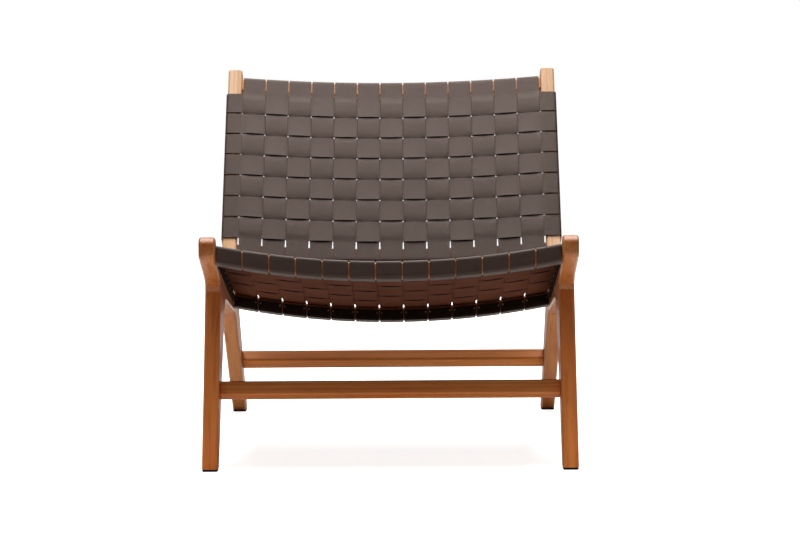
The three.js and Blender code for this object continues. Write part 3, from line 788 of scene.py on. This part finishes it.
# Middle lines of the straps, as pairs of (place along the strap's plane, height)
def make_bar(start, end, depth):
    return {"low": Vector((start, -line_over_bar - depth)), "high": Vector((end, -line_over_bar))}


def wrap_path(bar, outwards, faces):
    inner = bar["low"].x if outwards > 0 else bar["high"].x
    outer = bar["high"].x if outwards > 0 else bar["low"].x
    far_side = outer + outwards * line_over_bar
    near_side = inner - outwards * line_over_bar
    bottom = bar["low"].y - line_over_bar
    path = [Vector((inner, 0)), Vector((far_side, 0)), Vector((far_side, bottom))]
    if faces < 3:
        path.append(Vector((inner + outwards * end_inset, bottom)))
        return path
    path.append(Vector((near_side, bottom)))
    path.append(Vector((near_side, bar["high"].y - end_drop)))
    return path


def weave_path(places, pitch, gap):
    """Points closer together in the gaps between the crossing straps, where a strap turns over"""
    path = [Vector((places[0] - (pitch - gap) / 2, 0))]
    for place in places[:-1]:
        path.extend(Vector((place + pitch / 2 + gap * share, 0)) for share in turn_shares)
    path.append(Vector((places[-1] + (pitch - gap) / 2, 0)))
    return path


def eased(path):
    points = [path[0]]
    for before, corner, after in zip(path, path[1:], path[2:]):
        arriving, leaving = corner - before, after - corner
        turn = arriving.angle(leaving, 0.0)
        if turn < math.radians(least_bend):
            points.append(corner)
            continue
        reach = min(strap_bend * math.tan(turn / 2), arriving.length / 2, leaving.length / 2)
        first = corner - arriving.normalized() * reach
        last = corner + leaving.normalized() * reach
        for step in range(bend_steps + 1):
            share = step / bend_steps
            points.append(first * (1 - share) ** 2 + corner * 2 * share * (1 - share) + last * share ** 2)
    points.append(path[-1])
    return points


def in_steps(path):
    points = [path[0]]
    for before, after in zip(path, path[1:]):
        length = (after - before).length
        if length < weld_distance:
            continue
        count = math.ceil(length / path_step)
        points.extend(before.lerp(after, (step + 1) / count) for step in range(count))
    return points


def even_places(first, pitch, count):
    return [first + index * pitch for index in range(count)]


seat_front_bar = make_bar(0, seat_front_rail_depth, seat_front_rail_height)
seat_rear_bar = make_bar(
    seat_rear_rail_place, seat_rear_rail_place + seat_rear_rail_depth, seat_rear_rail_height
)
back_top_start = (back_row_count - 1) * back_row_pitch + cross_width + back_top_rail_gap
back_top_bar = make_bar(back_top_start, back_top_start + back_rail_width, back_rail_depth)
back_bottom_bar = make_bar(
    -back_bottom_rail_gap - back_rail_width, -back_bottom_rail_gap, back_rail_depth
)
seat_side_bar = make_bar(half_width, half_width + frame_thickness, side_bar_depth)
post_bar = make_bar(half_width, half_width + frame_thickness, post_depth)


def make_columns(gap, margin):
    pitch = (clear_width + gap - 2 * margin) / column_count
    places = even_places((1 - column_count) / 2 * pitch, pitch, column_count)
    return {"width": pitch - gap, "pitch": pitch, "places": places, "gap": column_weave_gap}


def make_rows(first, pitch, count):
    places = even_places(first, pitch, count)
    return {"width": cross_width, "pitch": pitch, "places": places, "gap": row_weave_gap}


seat_columns = make_columns(seat_column_gap, seat_column_margin)
back_columns = make_columns(back_column_gap, back_column_margin)
seat_rows = make_rows(seat_first_row, seat_row_pitch, seat_row_count)
back_rows = make_rows(cross_width / 2, back_row_pitch, back_row_count)
leathers = {
    "Face Leather": leather_face,
    "Painted Shade Leather": leather_in_painted_shade,
    "Flesh Leather": leather_flesh,
    "Edge Leather": leather_edge_with_painted_shade,
}
woven_strap = strap_tree()


def woven_line(start, crossings, end):
    woven = weave_path(crossings["places"], crossings["pitch"], crossings["gap"])
    return in_steps(eased(start + woven + end))


def lengthwise_line(kind):
    start = list(reversed(wrap_path(kind["start_bar"], -1, kind["faces"])))
    return woven_line(start, kind["rows"], wrap_path(kind["end_bar"], 1, kind["faces"]))


def cross_line(kind):
    right_end = wrap_path(kind["side_bar"], 1, kind["faces"])
    left_end = [Vector((-point.x, point.y)) for point in reversed(right_end)]
    return woven_line(left_end, kind["columns"], right_end)


def make_strap(node, kind, points, own, crossings, place, across, first_lift, tip, seed):
    holder = new_holder(node, points, [(step, step + 1) for step in range(len(points) - 1)])
    panel = kind["panel"]
    values = {
        "Width": own["width"],
        "Own Pitch": own["pitch"],
        "Own Gap": own["gap"],
        "Middle": place,
        "First Crossing": crossings["places"][0],
        "Crossing Pitch": crossings["pitch"],
        "Crossing Gap": crossings["gap"],
        "Crossings": len(crossings["places"]),
        "Lift": first_lift,
        "Tip": tip,
        "Painted Shade Length": kind["painted_shade_ends"],
        "Across": across,
        "Run": Vector((abs(across[1]), abs(across[0]), 0)),
        "Panel Origin": panel["origin"],
        "Panel Along": panel["along"],
        "Panel Normal": panel["normal"],
        "Bow": panel["bow"],
        "Seed": seed,
        **leathers,
    }
    add_tree(holder, woven_strap, values)
    piece = plain_mesh(holder, f"leather_{node}")
    piece.data.shade_smooth()
    piece.data.set_sharp_from_angle(angle=math.radians(sharp_angle))
    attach(piece, "root")
    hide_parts(node)


lengthwise_across = (-1, 0, 0)  # with these the grain side of a strap faces outwards
crosswise_across = (0, 1, 0)

# A panel's bars, its weave and how many faces of each bar its straps go round
strap_kinds = {
    "seat": {
        "panel": seat, "start_bar": seat_front_bar, "end_bar": seat_rear_bar, "side_bar": seat_side_bar,
        "rows": seat_rows, "columns": seat_columns, "faces": 3, "tip": 0.0, "painted_shade_ends": painted_shade_length,
    },
    "back": {
        "panel": back, "start_bar": back_bottom_bar, "end_bar": back_top_bar, "side_bar": post_bar,
        "rows": back_rows, "columns": back_columns, "faces": 2, "tip": lower_edge_tip, "painted_shade_ends": 0.0,
    },
}
for word, kind in strap_kinds.items():
    rows, columns = kind["rows"], kind["columns"]
    line = lengthwise_line(kind)
    for index, place in enumerate(columns["places"]):
        points = [(place, point.x, point.y) for point in line]
        make_strap(
            f"{word}_strap_{index + 1}", kind, points, columns, rows, place, lengthwise_across,
            first_lift=lift if index % 2 == 0 else -lift, tip=0.0,
            seed=seed_step * index + lengthwise_seed,
        )
    line = cross_line(kind)
    for index, place in enumerate(rows["places"]):
        points = [(point.x, place, point.y) for point in line]
        make_strap(
            f"{word}_cross_strap_{index + 1}", kind, points, rows, columns, place, crosswise_across,
            first_lift=-lift if index % 2 == 0 else lift, tip=kind["tip"],
            seed=seed_step * index + crosswise_seed,
        )


# Tacks
def tack_tree():
    tree, start, end = new_tree(
        "tack heads",
        "GeometryNodeTree",
        [
            ("Geometry", "NodeSocketGeometry", None),
            ("Radius", "NodeSocketFloat", tack_radius),
            ("Height Share", "NodeSocketFloat", tack_height_share),
            ("Sides", "NodeSocketInt", tack_sides),
            ("Rings", "NodeSocketInt", tack_rings),
            ("Metal", "NodeSocketMaterial", None),
        ],
        [("Geometry", "NodeSocketGeometry")],
    )
    ball = add_node(
        tree,
        "GeometryNodeMeshUVSphere",
        {"Segments": start["Sides"], "Rings": start["Rings"], "Radius": start["Radius"]},
    ).outputs[0]
    squash = vector_from(tree, 1.0, 1.0, start["Height Share"])
    head = add_node(tree, "GeometryNodeTransform", {"Geometry": ball, "Scale": squash}).outputs[0]
    facing = named(tree, "facing", "FLOAT_VECTOR")
    turn = add_node(tree, "FunctionNodeAlignRotationToVector", {"Vector": facing}, axis="Z").outputs[0]
    heads = add_node(
        tree,
        "GeometryNodeInstanceOnPoints",
        {"Points": start["Geometry"], "Instance": head, "Rotation": turn},
    ).outputs[0]
    whole = add_node(tree, "GeometryNodeRealizeInstances", {0: heads}).outputs[0]
    tree.links.new(dressed(tree, whole, start["Metal"]), end["Geometry"])
    return tree


def end_tacks(bar, outwards, faces):
    """The place and the facing of a tack at one end of a strap, in the strap's own plane"""
    inner = bar["low"].x if outwards > 0 else bar["high"].x
    if faces < 3:
        bottom = bar["low"].y - line_over_bar - strap_thickness / 2
        return Vector((inner + outwards * (end_inset + tack_end_inset), bottom)), Vector((0, -1))
    near_side = inner - outwards * (line_over_bar + strap_thickness / 2)
    return Vector((near_side, bar["high"].y - end_drop - tack_end_inset)), Vector((-outwards, 0))


def make_tacks(name, kind):
    panel, columns, faces = kind["panel"], kind["columns"], kind["faces"]
    points, facings = [], []
    for sign in (-1, 1):
        for bar, outwards in ((kind["start_bar"], -1), (kind["end_bar"], 1)):
            at, facing = end_tacks(bar, outwards, faces)
            for place in columns["places"]:
                x = place + sign * (columns["width"] / 2 - tack_edge_inset)
                points.append(on_panel(panel, x, at.x, at.y))
                facings.append(panel["along"] * facing.x + panel["normal"] * facing.y)
        at, facing = end_tacks(kind["side_bar"], 1, faces)
        for side in (-1, 1):
            for row in kind["rows"]["places"]:
                u = row + sign * (cross_width / 2 - tack_edge_inset)
                points.append(on_panel(panel, side * at.x, u, at.y))
                facings.append(Vector((side * facing.x, 0, 0)) + panel["normal"] * facing.y)
    holder = new_holder(name, points, [])
    attribute = holder.data.attributes.new("facing", "FLOAT_VECTOR", "POINT")
    for entry, facing in zip(attribute.data, facings):
        entry.vector = facing
    add_tree(holder, tack_heads, {"Metal": tack_metal})
    piece = plain_mesh(holder, name)
    piece.data.shade_smooth()
    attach(piece, "root")


tack_heads = tack_tree()
for word, kind in strap_kinds.items():
    make_tacks(f"{word}_tacks", kind)


# Wood and pads: the part's own shapes with eased edges
def eased_copy(node, name, edge_width, material):
    mesh = bpy.data.meshes.new(name)
    shape = bmesh.new()
    shape.from_mesh(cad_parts[node].data)
    bmesh.ops.remove_doubles(shape, verts=shape.verts, dist=weld_distance)
    bmesh.ops.dissolve_limit(
        shape, angle_limit=math.radians(flat_angle), verts=shape.verts, edges=shape.edges
    )
    bmesh.ops.recalc_face_normals(shape, faces=shape.faces)
    shape.to_mesh(mesh)
    shape.free()
    mesh.shade_smooth()
    holder = bpy.data.objects.new(name, mesh)
    bpy.context.scene.collection.objects.link(holder)
    bevel = holder.modifiers.new("eased edges", "BEVEL")
    bevel.width = edge_width
    bevel.segments = edge_steps
    bevel.limit_method = "ANGLE"
    bevel.angle_limit = math.radians(edge_angle)
    weighted = holder.modifiers.new("even shading", "WEIGHTED_NORMAL")
    weighted.keep_sharp = True
    piece = plain_mesh(holder, name)
    piece.data.materials.clear()
    piece.data.materials.append(material)
    return piece


def lay_grain(piece, along, across, panel, start):
    """Stores each point's place along, across and through the grain, and its share of the height"""
    attribute = piece.data.attributes.new("grain_place", "FLOAT_VECTOR", "POINT")
    through = along.cross(across)
    for vertex, entry in zip(piece.data.vertices, attribute.data):
        place = vertex.co.copy()
        if panel:
            place += panel["normal"] * hollow(panel, place.x)
        entry.vector = Vector((place.dot(along), place.dot(across), place.dot(through))) + start
    low = min(vertex.co.z for vertex in piece.data.vertices)
    high = max(vertex.co.z for vertex in piece.data.vertices)
    attribute = piece.data.attributes.new("height_share", "FLOAT", "POINT")
    for vertex, entry in zip(piece.data.vertices, attribute.data):
        entry.value = (vertex.co.z - low) / (high - low)


def wood_piece(node, finish, along, panel=None):
    piece = eased_copy(node, f"oiled_{node}", edge_round, woods[finish])
    across = seat["along"] if along == crosswise else crosswise
    index = sorted(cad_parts).index(node)
    lay_grain(piece, along.normalized(), across, panel, grain_shift * (index + 1))
    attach(piece, "root")
    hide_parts(node)


def node_lean(node):
    """The direction from the middle of a node's lowest points to the middle of its highest"""
    low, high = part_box(node)
    reach = (high.z - low.z) * lean_share
    spots = [vertex.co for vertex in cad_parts[node].data.vertices]
    bottom = [spot for spot in spots if spot.z < low.z + reach]
    top = [spot for spot in spots if spot.z > high.z - reach]
    lean = sum(top, Vector()) / len(top) - sum(bottom, Vector()) / len(bottom)
    lean.x = 0
    return lean.normalized()


crosswise = Vector((1, 0, 0))
for hand in ("left", "right"):
    wood_piece(f"seat_side_rail_{hand}", "side rails", seat["along"])
    wood_piece(f"front_leg_{hand}", "front legs", node_lean(f"front_leg_{hand}"))
    wood_piece(f"rear_leg_{hand}", "rear legs", node_lean(f"rear_leg_{hand}"))
    wood_piece(f"back_post_{hand}", "posts", back["along"])
wood_piece("seat_front_rail", "rails", crosswise, seat)
# The seat's rear rail and the back's bottom rail take the wood in painted shade
wood_piece("seat_rear_rail", "rails in painted shade", crosswise, seat)
wood_piece("back_top_rail", "rails", crosswise, back)
wood_piece("back_bottom_rail", "rails in painted shade", crosswise, back)
wood_piece("front_stretcher", "front stretcher", crosswise)
wood_piece("rear_stretcher", "rear stretcher", crosswise)
for corner in ("front_left", "front_right", "rear_left", "rear_right"):
    pad = eased_copy(f"foot_pad_{corner}", f"rubber_pad_{corner}", pad_round, rubber)
    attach(pad, "root")
    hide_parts(f"foot_pad_{corner}")


# Floor and surroundings, which the camera sees whiter than they light the chair
def camera_sees(tree, seen, lit, output):
    path = add_node(tree, "ShaderNodeLightPath")
    inputs = {0: path.outputs["Is Camera Ray"], 1: lit.outputs[0], 2: seen.outputs[0]}
    mix = add_node(tree, "ShaderNodeMixShader", inputs)
    add_node(tree, output, {"Surface": mix.outputs[0]})


corners = [(x * floor_reach, y * floor_reach, 0) for x, y in ((-1, -1), (1, -1), (1, 1), (-1, 1))]
floor_mesh = bpy.data.meshes.new("studio_floor")
floor_mesh.from_pydata(corners, [], [(0, 1, 2, 3)])
floor = bpy.data.objects.new("studio_floor", floor_mesh)
bpy.context.scene.collection.objects.link(floor)
paper = bpy.data.materials.new("white paper")
paper.use_nodes = True
tree = paper.node_tree
tree.nodes.clear()
plain = add_node(tree, "ShaderNodeBsdfDiffuse", {"Color": (paper_tone, paper_tone, paper_tone, 1)})
distance = length_of(tree, add_node(tree, "ShaderNodeTexCoord").outputs["Object"])
brightness = ranged(tree, distance, near_distance, far_distance, near_brightness)
glow = add_node(tree, "ShaderNodeEmission", {"Color": (1, 1, 1, 1), "Strength": brightness})
bright = add_node(tree, "ShaderNodeAddShader", {0: plain.outputs[0], 1: glow.outputs[0]})
camera_sees(tree, bright, plain, "ShaderNodeOutputMaterial")
floor.data.materials.append(paper)

world = bpy.data.worlds.new("pale studio")
bpy.context.scene.world = world
world.use_nodes = True
tree = world.node_tree
tree.nodes.clear()
around = add_node(tree, "ShaderNodeBackground", {"Color": (1, 1, 1, 1), "Strength": world_strength})
white = add_node(tree, "ShaderNodeBackground", {"Color": (1, 1, 1, 1), "Strength": 1.0})
camera_sees(tree, white, around, "ShaderNodeOutputWorld")


# Light: a wide soft box above and a weaker one behind
def soft_box(name, place, watts):
    lamp = bpy.data.lights.new(name, "AREA")
    lamp.shape = "RECTANGLE"
    lamp.size = lamp_width
    lamp.size_y = lamp_depth
    lamp.energy = watts
    box = bpy.data.objects.new(name, lamp)
    bpy.context.scene.collection.objects.link(box)
    box.location = place
    box.rotation_euler = (chair_middle - Vector(place)).to_track_quat("-Z", "Y").to_euler()


soft_box("soft box above", place=(0, 0.15, 3.35), watts=128)
soft_box("soft box behind", place=(0, 1.5, 2.95), watts=62)

# Camera: the photograph's own view
image_width = 800
focal_pixels = 2374.8
film_width = 36.0
camera_place = Vector((0.0428, -4.415, 0.7036))
camera_pitch = math.radians(-4.95)
camera_yaw = math.radians(-0.336)
camera_roll = math.radians(0.404)
forward = Vector((
    math.sin(camera_yaw) * math.cos(camera_pitch),
    math.cos(camera_yaw) * math.cos(camera_pitch),
    math.sin(camera_pitch),
))
level = Vector((math.cos(camera_yaw), -math.sin(camera_yaw), 0))
upright = level.cross(forward)
rightward = level * math.cos(camera_roll) - upright * math.sin(camera_roll)
upward = level * math.sin(camera_roll) + upright * math.cos(camera_roll)
lens = bpy.data.cameras.new("photograph's view")
lens.sensor_fit = "HORIZONTAL"
lens.sensor_width = film_width
lens.lens = focal_pixels / image_width * film_width
camera = bpy.data.objects.new("camera", lens)
bpy.context.scene.collection.objects.link(camera)
turn = Matrix((rightward, upward, -forward)).transposed().to_4x4()
camera.matrix_world = Matrix.Translation(camera_place) @ turn
bpy.context.scene.camera = camera
bpy.context.scene.view_settings.view_transform = "Standard"
